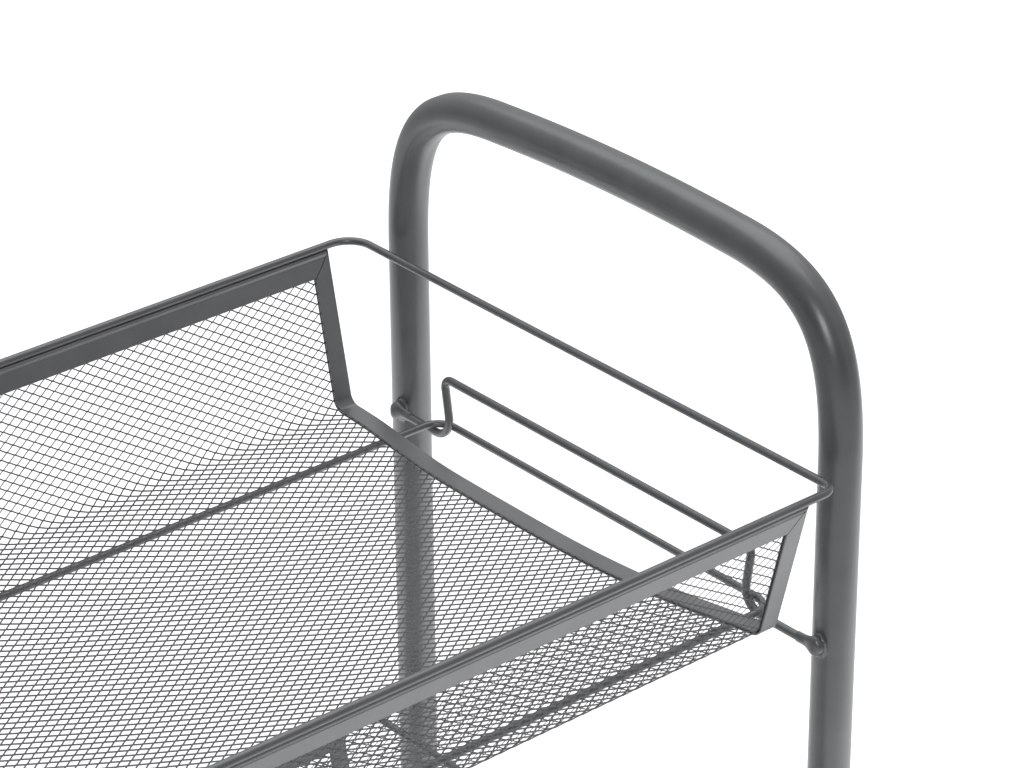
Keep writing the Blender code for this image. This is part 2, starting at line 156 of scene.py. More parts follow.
floor_mesh = bpy.data.meshes.new("floor")
floor_shape = bmesh.new()
bmesh.ops.create_grid(floor_shape, x_segments=8, y_segments=8, size=FLOOR_HALF)
floor_shape.to_mesh(floor_mesh)
floor_shape.free()
floor = bpy.data.objects.new("floor", floor_mesh)
floor.location.z = -FLOOR_GAP
bpy.context.scene.collection.objects.link(floor)
print("floor is", floor.dimensions.x, "m across")

# %% Floor paint and painted pool of light
GLOW_CENTRE = (1.0, 0.6, 0)
GLOW_FULL_TO = 1.0
GLOW_FADES_BY = 1.7
GLOW_STRENGTH = 0.8
GLOW_LEFT = 0.02

floor_material_with_painted_light, tree, shader = new_material("floor_pale_with_painted_light")
speckle = object_noise(tree, 14, detail=3)
speckled = ramp(tree, speckle.outputs["Fac"], (0.82, 0.82, 0.82), (0.86, 0.86, 0.86))
tree.links.new(speckled, shader.inputs["Base Color"])
shader.inputs["Roughness"].default_value = 0.75
shader.inputs["Specular IOR Level"].default_value = 0.2
where = tree.nodes.new("ShaderNodeTexCoord")
from_centre = tree.nodes.new("ShaderNodeVectorMath")
from_centre.operation = "DISTANCE"
from_centre.inputs[1].default_value = GLOW_CENTRE
tree.links.new(where.outputs["Object"], from_centre.inputs[0])
# Painted light: the emission is full within GLOW_FULL_TO of GLOW_CENTRE and fades beyond it, a pool of
# light that no lamp casts.
glow = tree.nodes.new("ShaderNodeMapRange")
glow.interpolation_type = "SMOOTHSTEP"
glow.inputs["From Min"].default_value = GLOW_FULL_TO
glow.inputs["From Max"].default_value = GLOW_FADES_BY
glow.inputs["To Min"].default_value = GLOW_STRENGTH
glow.inputs["To Max"].default_value = GLOW_LEFT
tree.links.new(from_centre.outputs["Value"], glow.inputs["Value"])
tree.links.new(glow.outputs["Result"], shader.inputs["Emission Strength"])
shader.inputs["Emission Color"].default_value = (1, 1, 1, 1)
floor_mesh.materials.append(floor_material_with_painted_light)
print("the floor glows fully for", GLOW_FULL_TO, "m round", GLOW_CENTRE)

# %% [markdown]
# Two lamps are enough. The overhead one is very large and weak, so its shadows are soft. The small one
# stands in front, high and to the left, and is there for its mirror image only: it puts a long soft
# highlight on the tube where the tube bends.


# %% Lamps
def area_lamp(name, place, aim, size, power):
    """A square soft lamp at place, turned to face aim."""
    data = bpy.data.lights.new(name, "AREA")
    data.size = size
    data.energy = power
    lamp = bpy.data.objects.new(name, data)
    lamp.location = place
    lamp.rotation_euler = (Vector(aim) - Vector(place)).to_track_quat("-Z", "Y").to_euler()
    bpy.context.scene.collection.objects.link(lamp)


area_lamp("lamp_overhead", (0.9, 1.0, 3.4), (0.5, 0.5, 0), 3.6, 30)
area_lamp("lamp_front", (-1.2, -1.8, 1.75), (0.22, -0.1, 0.6), 0.7, 8)

# %% [markdown]
# Powder coat is a satin finish, so most of its shading is a blurred reflection of the room. The room is
# light behind the trolley and nearly dark in front of it, which gives each tube a dark middle and
# lighter edges. Its strength depends on how far a direction leans towards the lightest one.

# %% Room
LIGHTEST_WAY = Vector((0.62, 0.6, 0.5)).normalized()
ROOM_DARK = 0.05
ROOM_LIGHT = 0.62
DARK_FROM = -0.55

world = bpy.data.worlds.new("room")
world.use_nodes = True
tree = world.node_tree
sky = tree.nodes["Background"]
sky.inputs["Color"].default_value = (0.96, 0.98, 1.0, 1)
direction = tree.nodes.new("ShaderNodeTexCoord")
toward_back = tree.nodes.new("ShaderNodeVectorMath")
toward_back.operation = "DOT_PRODUCT"
toward_back.inputs[1].default_value = LIGHTEST_WAY
tree.links.new(direction.outputs["Generated"], toward_back.inputs[0])
fade = tree.nodes.new("ShaderNodeMapRange")
fade.inputs["From Min"].default_value = DARK_FROM
fade.inputs["From Max"].default_value = 1.0
fade.inputs["To Min"].default_value = ROOM_DARK
fade.inputs["To Max"].default_value = ROOM_LIGHT
tree.links.new(toward_back.outputs["Value"], fade.inputs["Value"])
tree.links.new(fade.outputs["Result"], sky.inputs["Strength"])
bpy.context.scene.world = world
bpy.context.scene.view_settings.view_transform = "Standard"
print("the room is lightest towards", tuple(round(value, 2) for value in LIGHTEST_WAY))

# %% [markdown]
# ## Finishes
# The steel wears a mid-grey powder coat. Powder coat is melted on, so its surface has a fine pebble
# called orange peel, well under a millimetre across, and its gloss drifts a little from place to
# place. Both come from noise that is fixed to the piece. A good share of metal flake makes it mirror
# the floor more than plain paint does. The coat is one colour, but it looks lighter on the flat strips
# than on the tube and darker on the thin strands, and that is painted in: the strips get a lighter
# tone, which is painted light, and the strands a darker one, which is painted shade.


# %% Powder coat
PEEL_PER_METRE = 1500
PEEL_HEIGHT = 0.05 * MM
FLAKE = 0.55


def powder_coat(name, tone, gloss):
    """Satin grey coat. tone is its reflectance and gloss the middle of its roughness."""
    material, tree, shader = new_material(name)
    drift = object_noise(tree, 60, detail=3)
    low = tuple(channel * 0.93 for channel in tone)
    high = tuple(channel * 1.06 for channel in tone)
    tree.links.new(ramp(tree, drift.outputs["Fac"], low, high), shader.inputs["Base Color"])
    uneven_gloss = value_range(tree, drift.outputs["Fac"], gloss - 0.05, gloss + 0.05)
    tree.links.new(uneven_gloss, shader.inputs["Roughness"])
    peel = object_noise(tree, PEEL_PER_METRE, detail=1.5, roughness=0.4)
    bump(tree, shader, peel.outputs["Fac"], PEEL_HEIGHT, 0.18)
    shader.inputs["Metallic"].default_value = FLAKE
    return material


# One coat in three tones: the lighter strip tone is painted light and the darker mesh tone is painted
# shade, both set against the tube's tone.
COAT = powder_coat("grey_powder_coat_tube", (0.25, 0.255, 0.26), 0.34)
PAINTED_LIGHT_STRIP_COAT = powder_coat("grey_powder_coat_strip_painted_light", (0.295, 0.3, 0.305), 0.36)
PAINTED_SHADE_MESH_COAT = powder_coat("grey_powder_coat_strand_painted_shade", (0.2, 0.203, 0.207), 0.45)
print("coats:", COAT.name, PAINTED_LIGHT_STRIP_COAT.name, PAINTED_SHADE_MESH_COAT.name)

# %% [markdown]
# The forks, levers and plugs are nylon that was moulded in a spark-eroded tool, and the tool leaves a
# fine grain. The tread is a softer, duller compound. The rivets, pins and stems are zinc plated, so
# they are real metal: their colour is their reflection, and only the gloss drifts.


# %% Plastics, tread and zinc
def moulded_plastic(name, tone, gloss):
    """Black nylon: a fine spark-eroded grain and slightly uneven gloss."""
    material, tree, shader = new_material(name)
    cloud = object_noise(tree, 160, detail=3)
    grain = object_noise(tree, 4200, detail=1)
    high = tuple(channel * 1.5 for channel in tone)
    tree.links.new(ramp(tree, cloud.outputs["Fac"], tone, high), shader.inputs["Base Color"])
    uneven_gloss = value_range(tree, cloud.outputs["Fac"], gloss - 0.06, gloss + 0.08)
    tree.links.new(uneven_gloss, shader.inputs["Roughness"])
    bump(tree, shader, grain.outputs["Fac"], 0.03 * MM, 0.35)
    return material


def zinc_plate(name):
    """Bright zinc with faint turning marks."""
    material, tree, shader = new_material(name)
    cloud = object_noise(tree, 240, detail=4)
    plated = ramp(tree, cloud.outputs["Fac"], (0.5, 0.51, 0.53), (0.68, 0.68, 0.66))
    tree.links.new(plated, shader.inputs["Base Color"])
    tree.links.new(value_range(tree, cloud.outputs["Fac"], 0.24, 0.42), shader.inputs["Roughness"])
    marks = object_noise(tree, 2600, detail=1)
    bump(tree, shader, marks.outputs["Fac"], 0.02 * MM, 0.3)
    shader.inputs["Metallic"].default_value = 1.0
    return material


PLASTIC = moulded_plastic("black_plastic_moulded", (0.018, 0.018, 0.02), 0.46)
TREAD = moulded_plastic("grey_tread_rubber", (0.055, 0.056, 0.06), 0.68)
ZINC = zinc_plate("zinc_plated_steel")
print("castor finishes:", PLASTIC.name, TREAD.name, ZINC.name)

# %% [markdown]
# ## Tools for tube and wire
# Everything on this trolley that is round was bent flat, in one plane. That makes a sweep simple: at
# each point of the path, one direction of the ring is the plane's own normal and the other is square
# to the path. A small function turns sharp corners into arcs, because wire is bent round a former.


# %% Rounded paths
def rounded(corners, closed, steps=12):
    """The 2D polyline through corners (x, y, radius), each turned into an arc of its own radius."""
    points = []
    count = len(corners)
    for index, (x, y, radius) in enumerate(corners):
        corner = Vector((x, y))
        if not closed and index in (0, count - 1):
            points.append(corner)
            continue
        before = (Vector(corners[index - 1][:2]) - corner).normalized()
        after = (Vector(corners[(index + 1) % count][:2]) - corner).normalized()
        half_angle = before.angle(after) / 2
        centre = corner + (before + after).normalized() * radius / math.sin(half_angle)
        start = corner + before * radius / math.tan(half_angle) - centre
        sweep_angle = start.angle_signed(corner + after * radius / math.tan(half_angle) - centre)
        for step in range(steps + 1):
            points.append(centre + Matrix.Rotation(-sweep_angle * step / steps, 2) @ start)
    return points


square = rounded([(0, 0, 1), (9, 0, 1), (9, 9, 1), (0, 9, 1)], True)
print("a square with rounded corners has", len(square), "points")


# %% Finish a piece
def finish_mesh(name, mesh, material, body, replaced=(), sharp=40):
    """Puts a mesh in the scene as a piece: normals out, smooth shading, finish and body."""
    shape = bmesh.new()
    shape.from_mesh(mesh)
    bmesh.ops.recalc_face_normals(shape, faces=shape.faces)
    shape.to_mesh(mesh)
    shape.free()
    mesh.shade_smooth()
    mesh.set_sharp_from_angle(angle=math.radians(sharp))
    mesh.materials.clear()
    mesh.materials.append(material)
    piece = bpy.data.objects.new(name, mesh)
    bpy.context.scene.collection.objects.link(piece)
    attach(piece, body)
    if replaced:
        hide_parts(*replaced)
    return piece


ROOT = "trolley_frame"


# %% Sweeps
def sweep_mesh(name, path, normal, radii, sides=24, closed=False, flat=None):
    """A tube along a flat path.

    radii(i) gives the ring's radius in the path's plane and across it. flat(i) says how far the ring may
    reach in that plane.
    """
    normal = Vector(normal)
    count = len(path)
    points = []
    for index, place in enumerate(path):
        if closed:
            along = path[(index + 1) % count] - path[index - 1]
        else:
            along = path[min(index + 1, count - 1)] - path[max(index - 1, 0)]
        side = along.normalized().cross(normal)
        in_plane, across = radii(index)
        limit = flat(index) if flat else in_plane
        for step in range(sides):
            angle = 2 * math.pi * step / sides
            reach = max(-limit, min(limit, math.cos(angle) * in_plane))
            points.append(place + side * reach + normal * (math.sin(angle) * across))
    faces = []
    for ring in range(count if closed else count - 1):
        first, second = ring * sides, (ring + 1) % count * sides
        for step in range(sides):
            after = (step + 1) % sides
            faces.append((first + step, first + after, second + after, second + step))
    if not closed:
        faces.append(tuple(range(sides))[::-1])
        faces.append(tuple(range((count - 1) * sides, count * sides)))
    mesh = bpy.data.meshes.new(name)
    mesh.from_pydata(points, [], faces)
    return mesh


print("tube and wire tools ready")

# %% [markdown]
# ## End frames
# Each end frame is one steel tube bent to an upside-down U. A draw bender squeezes a thin tube as it
# bends it: at the two top corners the tube goes slightly oval, and its inner and outer sides flatten,
# which leaves a soft crease along each side of the flat. The path repeats the CAD line: straight
# posts, one smooth curve at each corner, and a top bar with a shallow arch. The feet stay open,
# because a plastic plug goes into each.

# %% Tube path
tube_radius = (post_high.x - post_low.x) / 2
post_y = post_high.y - tube_radius
post_foot = post_low.z
top_bar_z = post_high.z - tube_radius
ARCH_HALF = 60 * MM
ARCH_DROP = 1.9 * MM
BEND_FOOT_DROP = 68 * MM
BEND_RISE_DROP = 19 * MM
BEND_LEAN_Y = 101 * MM
BEND_LEAN_DROP = 3.6 * MM
BEND_STEPS = 40


def frame_line(x):
    """Up the front post, over the arched top bar and down the back post."""
    foot = Vector((x, post_y, post_foot))
    bend_start = Vector((x, post_y, top_bar_z - BEND_FOOT_DROP))
    rise = Vector((x, post_y, top_bar_z - BEND_RISE_DROP))
    lean = Vector((x, BEND_LEAN_Y, top_bar_z - BEND_LEAN_DROP))
    shoulder = Vector((x, ARCH_HALF, top_bar_z - ARCH_DROP))
    bend = interpolate_bezier(bend_start, rise, lean, shoulder, BEND_STEPS)
    arch = []
    for step in range(1, 12):
        share = 1 - step / 12
        arch.append(Vector((x, ARCH_HALF * share, top_bar_z - ARCH_DROP * share * share)))
    back = [foot, *bend, *arch]
    front = [Vector((x, -point.y, point.z)) for point in back]
    return front + [Vector((x, 0, top_bar_z))] + back[::-1]


print("tube radius", round(tube_radius / MM, 2), "mm, posts", round(2 * post_y / MM, 1), "mm apart")


# %% End frames
TUBE_WALL = 1.0 * MM
SQUEEZE = 0.02
FLATTENING = 0.045


def build_end_frame(end, sign):
    """One bent tube with open feet and a wall thickness."""
    path = frame_line(sign * frame_x)

    def bent(index):
        """0 on the straight runs, rising to 1 inside a bend."""
        before, after = path[max(index - 1, 0)], path[min(index + 1, len(path) - 1)]
        lean = (after - before).normalized().z ** 2
        return min(1.0, 6 * lean * (1 - lean))

    def radii(index):
        return tube_radius * (1 - SQUEEZE * bent(index)), tube_radius * (1 + SQUEEZE * 0.5 * bent(index))

    def flat(index):
        """How far out the ring reaches before its inner and outer sides go flat."""
        return tube_radius * (1 - FLATTENING * bent(index))

    outer = sweep_mesh(f"tube_{end}", path, (1, 0, 0), radii, sides=72, flat=flat)
    open_feet = bmesh.new()
    open_feet.from_mesh(outer)
    caps = [face for face in open_feet.faces if len(face.verts) > 4]
    bmesh.ops.delete(open_feet, geom=caps, context="FACES_ONLY")
    bmesh.ops.recalc_face_normals(open_feet, faces=open_feet.faces)
    open_feet.to_mesh(outer)
    open_feet.free()
    piece = finish_mesh(f"bent_tube_{end}", outer, COAT, ROOT, [f"end_frame_{end}"])
    wall = piece.modifiers.new("tube wall", "SOLIDIFY")
    wall.thickness = TUBE_WALL
    wall.offset = -1
    return piece


for end, sign in (("left", -1), ("right", 1)):
    print("made", build_end_frame(end, sign).name)

# %% [markdown]
# ## Wires
# The rim wire and the base wire are closed loops, so each is swept round a rounded rectangle. The
# rim's corners are tight at the front and wider at the back. The straight runs need no extra points,
# only the arcs do.


# %% Rim and base loops
def loop_path(low, high, radius, front_corner, back_corner):
    """The middle line of a wire loop that fills a CAD box, as a rounded rectangle."""
    right, back = high.x - radius, high.y - radius
    corners = [(right, -back, front_corner), (right, back, back_corner)]
    corners += [(-right, back, back_corner), (-right, -back, front_corner)]
    height = (low.z + high.z) / 2
    return [Vector((point.x, point.y, height)) for point in rounded(corners, closed=True)]


def build_loop(name, node, front_corner, back_corner):
    """One closed wire loop in place of a CAD loop."""
    low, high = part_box(node)
    radius = (high.z - low.z) / 2
    path = loop_path(low, high, radius, front_corner, back_corner)
    mesh = sweep_mesh(name, path, (0, 0, 1), lambda index: (radius, radius), sides=20, closed=True)
    return finish_mesh(name, mesh, COAT, ROOT, [node])


TIERS = ("top", "middle", "bottom")
RIM_FRONT_CORNER = 5.5 * MM
RIM_BACK_CORNER = 10.5 * MM
BASE_CORNER = 8 * MM
print("wire loops for", TIERS, "are ready to build")

# %% [markdown]
# The hanger bar is one length of wire, welded to both posts and cranked up between its two legs. The
# basket's base wire rests on its low ends. Each leg leans outwards a little, and the lower bend is
# wider than the upper one. At the back the bar ends a little short of the post's middle, where its
# weld begins.

# %% Hanger bars
LEG_FOOT_Y = 79.5 * MM
LEG_HEAD_Y = 83.5 * MM
LEG_FOOT_BEND = 8 * MM
LEG_HEAD_BEND = 3.5 * MM
PAST_POST = 1.5 * MM
BACK_SHORT = 3.5 * MM


def build_hanger(tier, end):
    """One cranked wire across the posts at one end of one basket."""
    node = f"hanger_bar_{tier}_{end}"
    low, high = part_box(node)
    radius = (high.x - low.x) / 2
    bottom, top = low.z + radius, high.z - radius
    corners = [
        (-post_y - PAST_POST, bottom, 0),
        (-LEG_FOOT_Y, bottom, LEG_FOOT_BEND),
        (-LEG_HEAD_Y, top, LEG_HEAD_BEND),
        (LEG_HEAD_Y, top, LEG_HEAD_BEND),
        (LEG_FOOT_Y, bottom, LEG_FOOT_BEND),
        (post_y - BACK_SHORT, bottom, 0),
    ]
    x = (low.x + high.x) / 2
    path = [Vector((x, point.x, point.y)) for point in rounded(corners, closed=False)]
    mesh = sweep_mesh(node, path, (1, 0, 0), lambda index: (radius, radius), sides=20)
    return finish_mesh(f"cranked_wire_{tier}_{end}", mesh, COAT, ROOT, [node])


print("a hanger bar is", round(2 * LEG_HEAD_Y / MM), "mm between the heads of its legs")

# %% Wires of each tier
for tier in TIERS:
    build_loop(f"rim_loop_{tier}", f"rim_wire_{tier}", RIM_FRONT_CORNER, RIM_BACK_CORNER)
    build_loop(f"base_loop_{tier}", f"base_wire_{tier}", BASE_CORNER, BASE_CORNER)
    for end in ("left", "right"):
        build_hanger(tier, end)
print("wires bent for", TIERS)

# %% [markdown]
# ## Welds
# A weld bead is a small puddle of metal that froze where the wire meets the post, and the coat then
# covered it. A ball of fine mesh, stretched along the joint and pushed about by noise, gives each
# bead its own lumpy shape. The noise is read at the bead's own place, so no two are alike and the
# result is the same every time.


# %% Weld beads
def weld_bead(name, place, size, lump=0.22):
    """A lumpy ellipsoid. size holds its three half axes."""
    shape = bmesh.new()
    bmesh.ops.create_icosphere(shape, subdivisions=4, radius=1)
    for vert in shape.verts:
        swell = noise.noise(vert.co * 1.4 + place * 900) + 0.5 * noise.noise(vert.co * 3.1 + place * 700)
        vert.co = place + Vector(size) * (vert.co * (1 + lump * swell))
    mesh = bpy.data.meshes.new(name)
    shape.to_mesh(mesh)
    shape.free()
    return finish_mesh(name, mesh, COAT, ROOT)


print("weld bead tool ready")

# %% [markdown]
# The wire itself softens in the weld: its end spreads into a lumpy bulb. That is a short sweep whose
# radius follows a bell curve along the wire, and it closes to a rounded end.


# %% Weld flares
FLARE_LENGTH = 12 * MM
FLARE_THIN = 1.62 * MM
FLARE_BULGE = 1.4 * MM
FLARE_STEPS = 32


def weld_flare(name, place, toward):
    """The wire's end, spread by the weld into a lumpy bulb that narrows smoothly back into the wire."""
    path, widths = [], []
    for step in range(FLARE_STEPS + 1):
        share = step / FLARE_STEPS
        path.append(place + Vector((0, toward * FLARE_LENGTH * (share - 0.7), 0)))
        bulb = math.exp(-(((share - 0.74) / 0.3) ** 2))
        closing = math.sqrt(max(1 - max((share - 0.72) / 0.28, 0) ** 2, 0.0004))
        widths.append((FLARE_THIN + FLARE_BULGE * bulb) * closing)

    def radii(index):
        return widths[index] * 1.2, widths[index] * 0.8

    mesh = sweep_mesh(name, path, (1, 0, 0), radii, sides=28)
    for vert in mesh.vertices:
        away = vert.co - Vector((place.x, vert.co.y, place.z))
        share = away.length / (FLARE_THIN + FLARE_BULGE)
        vert.co += away * 0.3 * share * noise.noise(vert.co * 190)
    return finish_mesh(name, mesh, COAT, ROOT)


for tier in TIERS:
    for end, sign in (("left", -1), ("right", 1)):
        low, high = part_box(f"hanger_bar_{tier}_{end}")
        wire_x, wire_z = (low.x + high.x) / 2, low.z + (high.x - low.x) / 2
        for side, toward, short in (("front", -1, 0), ("back", 1, BACK_SHORT)):
            joint = Vector((wire_x, toward * (post_y + 0.5 * MM - short), wire_z))
            weld_flare(f"weld_flare_{tier}_{end}_{side}", joint, toward)
            puddle_x = sign * (frame_x - tube_radius + 0.4 * MM)
            puddle = Vector((puddle_x, toward * (post_y + 0.6 * MM - short), wire_z - 0.6 * MM))
            weld_bead(f"weld_{tier}_{end}_{side}", puddle, (2.0 * MM, 3.4 * MM, 5.2 * MM), 0.2)
print("welds on", TIERS)

# %% [markdown]
# ## Diamond mesh
# Expanded metal is one steel sheet, slit and pulled open like a paper net. Each row of it is a strand
# that runs the length of the basket in a zigzag, and neighbouring rows stay joined where their points
# meet. So the mesh is built row by row: a flat four-sided strand whose corners step up and down, laid
# on the bent line of the trough. The strands tilt a little out of the sheet, as pulling them open
# makes them do, and that is why one direction of the net looks heavier than the other.

# %% Section of the trough
# SAG lists (y, drop below the rim) in millimetres, from the front bend to the back one.
TRIM_LOW, TRIM_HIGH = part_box("end_trim_right_top")
TOP_HALF = 128.4 * MM
TOP_DROP = 1.8 * MM
FLOOR_BEND = 5 * MM
TROUGH_END = TRIM_HIGH.x
SAG = [(-114.5, 55.2), (-95, 58.1), (-70, 61.9), (-40, 64.9), (-12, 66.4), (23, 66.7)]
SAG += [(58, 66.4), (80, 64.5), (98, 62.3), (115.9, 61.4)]


def smooth_run(points, steps=6):
    """A smooth curve through points, one Bezier curve in each gap."""
    curve = [points[0]]
    for index in range(len(points) - 1):
        start, end = points[index], points[index + 1]
        leave = (end - points[max(index - 1, 0)]) / 6
        arrive = (points[min(index + 2, len(points) - 1)] - start) / 6
        curve += interpolate_bezier(start, start + leave, end - arrive, end, steps + 1)[1:]
    return [Vector((point.x, point.y)) for point in curve]


def trough_line(steps=8):
    """The sheet's middle line in (y, z), from the front top edge to the back one."""
    front, *open_floor, back = smooth_run([Vector((y * MM, -drop * MM)) for y, drop in SAG])
    front_top, back_top = (-TOP_HALF, -TOP_DROP, 0), (TOP_HALF, -TOP_DROP, 0)
    clear_of_bends = open_floor[1:-1]
    front_bend = [front_top, (*front, FLOOR_BEND), (*clear_of_bends[0], 0)]
    back_bend = [(*clear_of_bends[-1], 0), (*back, FLOOR_BEND), back_top]
    before = rounded(front_bend, closed=False, steps=steps)[:-1]
    after = rounded(back_bend, closed=False, steps=steps)[1:]
    return before + clear_of_bends + after


def line_lengths(line):
    """How far along the line each of its points lies."""
    steps = [(after - before).length for before, after in zip(line, line[1:])]
    return np.concatenate([[0], np.cumsum(steps)])


TROUGH = trough_line()
TROUGH_LENGTHS = line_lengths(TROUGH)
print("the sheet is", round(TROUGH_LENGTHS[-1] / MM, 1), "mm wide before bending")


def on_trough(along):
    """The (y, z) places and outward normals at distances along the trough's line."""
    ys = np.array([point.x for point in TROUGH])
    zs = np.array([point.y for point in TROUGH])
    y = np.interp(along, TROUGH_LENGTHS, ys)
    z = np.interp(along, TROUGH_LENGTHS, zs)
    step = 0.4 * MM
    dy = np.interp(along + step, TROUGH_LENGTHS, ys) - np.interp(along - step, TROUGH_LENGTHS, ys)
    dz = np.interp(along + step, TROUGH_LENGTHS, zs) - np.interp(along - step, TROUGH_LENGTHS, zs)
    length = np.hypot(dy, dz)
    return y, z, dz / length, -dy / length

# %% [markdown]
# Each row lies half a diamond below the last one and swaps its steps up and down, so that neighbours
# meet point to point. A basket has tens of thousands of strand corners, so they are worked out a whole
# row at a time.

# %% Diamond mesh
DIAMOND_LONG = 5.9 * MM
DIAMOND_SHORT = 3.87 * MM
SHEET_MARGIN = 1.6 * MM
STRAND_WIDE = 0.6 * MM
STRAND_THICK = 0.21 * MM
STRAND_TILT = math.radians(-28)
BOND_CROSS = 0.08 * MM


def diamond_mesh(name, tier):
    """Zigzag strands across the whole sheet of one basket."""
    height = (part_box(f"rim_wire_{tier}")[0].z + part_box(f"rim_wire_{tier}")[1].z) / 2
    half_row = DIAMOND_SHORT / 2
    first, last = SHEET_MARGIN, TROUGH_LENGTHS[-1] - SHEET_MARGIN
    rows = int((last - first) / half_row)
    steps = int(2 * (TROUGH_END - SHEET_MARGIN) / (DIAMOND_LONG / 2))
    x = (np.arange(steps + 1) - steps / 2) * DIAMOND_LONG / 2
    corners = [(-1, -1), (1, -1), (1, 1), (-1, 1)]
    points = np.zeros((rows, steps + 1, 4, 3))
    for row in range(rows):
        raised = (np.arange(steps + 1) + row) % 2
        along = first + half_row * (row + raised) + BOND_CROSS * (2 * raised - 1)
        for corner, (wide, thick) in enumerate(corners):
            across = wide * STRAND_WIDE / 2
            out = thick * STRAND_THICK / 2
            shift = across * math.cos(STRAND_TILT) - out * math.sin(STRAND_TILT)
            lift = across * math.sin(STRAND_TILT) + out * math.cos(STRAND_TILT)
            y, z, normal_y, normal_z = on_trough(along + shift)
            points[row, :, corner, 0] = x
            points[row, :, corner, 1] = y + normal_y * lift
            points[row, :, corner, 2] = z + normal_z * lift + height
    ids = np.arange(rows * (steps + 1) * 4).reshape(rows, steps + 1, 4)
    before, after = ids[:, :-1], ids[:, 1:]
    sides = np.stack([before, np.roll(before, -1, axis=2), np.roll(after, -1, axis=2), after], axis=-1)
    ends = np.concatenate([ids[:, 0, ::-1], ids[:, -1]])
    faces = np.concatenate([sides.reshape(-1, 4), ends])
    mesh = bpy.data.meshes.new(name)
    mesh.from_pydata(points.reshape(-1, 3).tolist(), [], faces.tolist())
    finish_mesh(name, mesh, PAINTED_SHADE_MESH_COAT, ROOT, [f"basket_mesh_{tier}"], sharp=30)
    print(name, "has", rows, "rows and", len(faces), "faces")


for tier in TIERS:
    diamond_mesh(f"diamond_mesh_{tier}", tier)

# %% [markdown]
# ## Folded strips
# Cut mesh has sharp ends, so its edges are closed in folded steel strip. The strip on a long edge has
# a rolled top that the rim wire sits on, and the one on an open end is a plain fold. Both are drawn
# once as a closed outline, with the slot that swallows the mesh, and then run along the edge. Their
# meeting ends are mitred.

# %% Outlines of the strips
LEAF = 0.85 * MM
BEAD = 1.05 * MM
SHEET = 0.6 * MM
SLOT_DEPTH = 3.5 * MM
HEM_DEPTH = 9.4 * MM
TRIM_WIDTH = TRIM_HIGH.x - TRIM_LOW.x
MITRE_GAP = 0.08 * MM
FOLD_ANGLE = 22


def strip_outline(depth, roll):
    """(offset, depth) corners round a folded strip, with its top rolled out to the radius roll."""
    top = []
    steps = 12
    for step in range(steps + 1):
        angle = math.pi * step / steps
        top.append((-roll * math.cos(angle), roll - roll * math.sin(angle)))
    crease = [] if roll <= LEAF else [(LEAF - 0.15 * MM, 2.0 * roll), (LEAF, 2.0 * roll + 0.35 * MM)]
    right = [*crease, (LEAF, depth - 0.2 * MM), (LEAF - 0.2 * MM, depth)]
    slot = [(LEAF - SHEET, depth), (LEAF - SHEET, depth - SLOT_DEPTH)]
    half = [*right, *slot]
    mirrored = [(-offset, place) for offset, place in reversed(half)]
    return [*top, *half, *mirrored]


HEM_OUTLINE = strip_outline(HEM_DEPTH, BEAD)
TRIM_OUTLINE = strip_outline(TRIM_WIDTH, LEAF)
print("hem outline has", len(HEM_OUTLINE), "corners")

# %% [markdown]
# A hem is straight, so it needs one ring at each end. An end trim follows the whole line of the trough,
# ring by ring. Where the two meet, both end rings are cut on the same slant, with a hair's gap between
# them, as in a picture frame.


# %% Hems and end trims
def run_outline(name, rings):
    """Joins equal rings of points into a closed bar."""
    size = len(rings[0])
    faces = []
    for ring in range(len(rings) - 1):
        near, far = ring * size, (ring + 1) * size
        for step in range(size):
            after = (step + 1) % size
            faces.append((near + step, near + after, far + after, far + step))
    faces.append(tuple(range(size))[::-1])
    faces.append(tuple(range((len(rings) - 1) * size, len(rings) * size)))
    mesh = bpy.data.meshes.new(name)
    mesh.from_pydata([point for ring in rings for point in ring], [], faces)
    return mesh


def wall_direction(line, side):
    """The top of the front or back wall, the way down it and its outward normal."""
    top, below = (line[0], line[1]) if side == "front" else (line[-1], line[-2])
    down = (below - top).normalized()
    outward = Vector((down.y, -down.x)) if side == "front" else Vector((-down.y, down.x))
    return top, down, outward


def build_hem(tier, side, height):
    """The folded strip along one long top edge, straight from mitre to mitre."""
    top, down, outward = wall_direction(TROUGH, side)
    lift = 0.35 * MM
    rings = []
    for end in (-1, 1):
        ring = []
        for offset, depth in HEM_OUTLINE:
            place = top + down * (depth - lift) + outward * offset
            mitre = depth * TRIM_WIDTH / HEM_DEPTH + MITRE_GAP
            ring.append((end * (TROUGH_END - mitre), place.x, height + place.y))
        rings.append(ring)
    name = f"rolled_hem_{side}_{tier}"
    hem = run_outline(name, rings)
    return finish_mesh(name, hem, PAINTED_LIGHT_STRIP_COAT, ROOT, [f"hem_strip_{side}_{tier}"], FOLD_ANGLE)


def build_trim(tier, end, sign, height):
    """The folded strip that follows the trough's line round one open end."""
    rings = []
    last = len(TROUGH) - 1
    for index, place in enumerate(TROUGH):
        before, after = TROUGH[max(index - 1, 0)], TROUGH[min(index + 1, last)]
        along = (after - before).normalized()
        normal = Vector((along.y, -along.x))
        ring = []
        for offset, depth in TRIM_OUTLINE:
            point = place + normal * offset
            if index in (0, last):
                _, down, _ = wall_direction(TROUGH, "front" if index == 0 else "back")
                point += down * (depth * HEM_DEPTH / TRIM_WIDTH + MITRE_GAP)
            ring.append((sign * (TROUGH_END - depth), point.x, height + point.y))
        rings.append(ring)
    name = f"folded_trim_{end}_{tier}"
    trim = run_outline(name, rings)
    return finish_mesh(name, trim, PAINTED_LIGHT_STRIP_COAT, ROOT, [f"end_trim_{end}_{tier}"], FOLD_ANGLE)


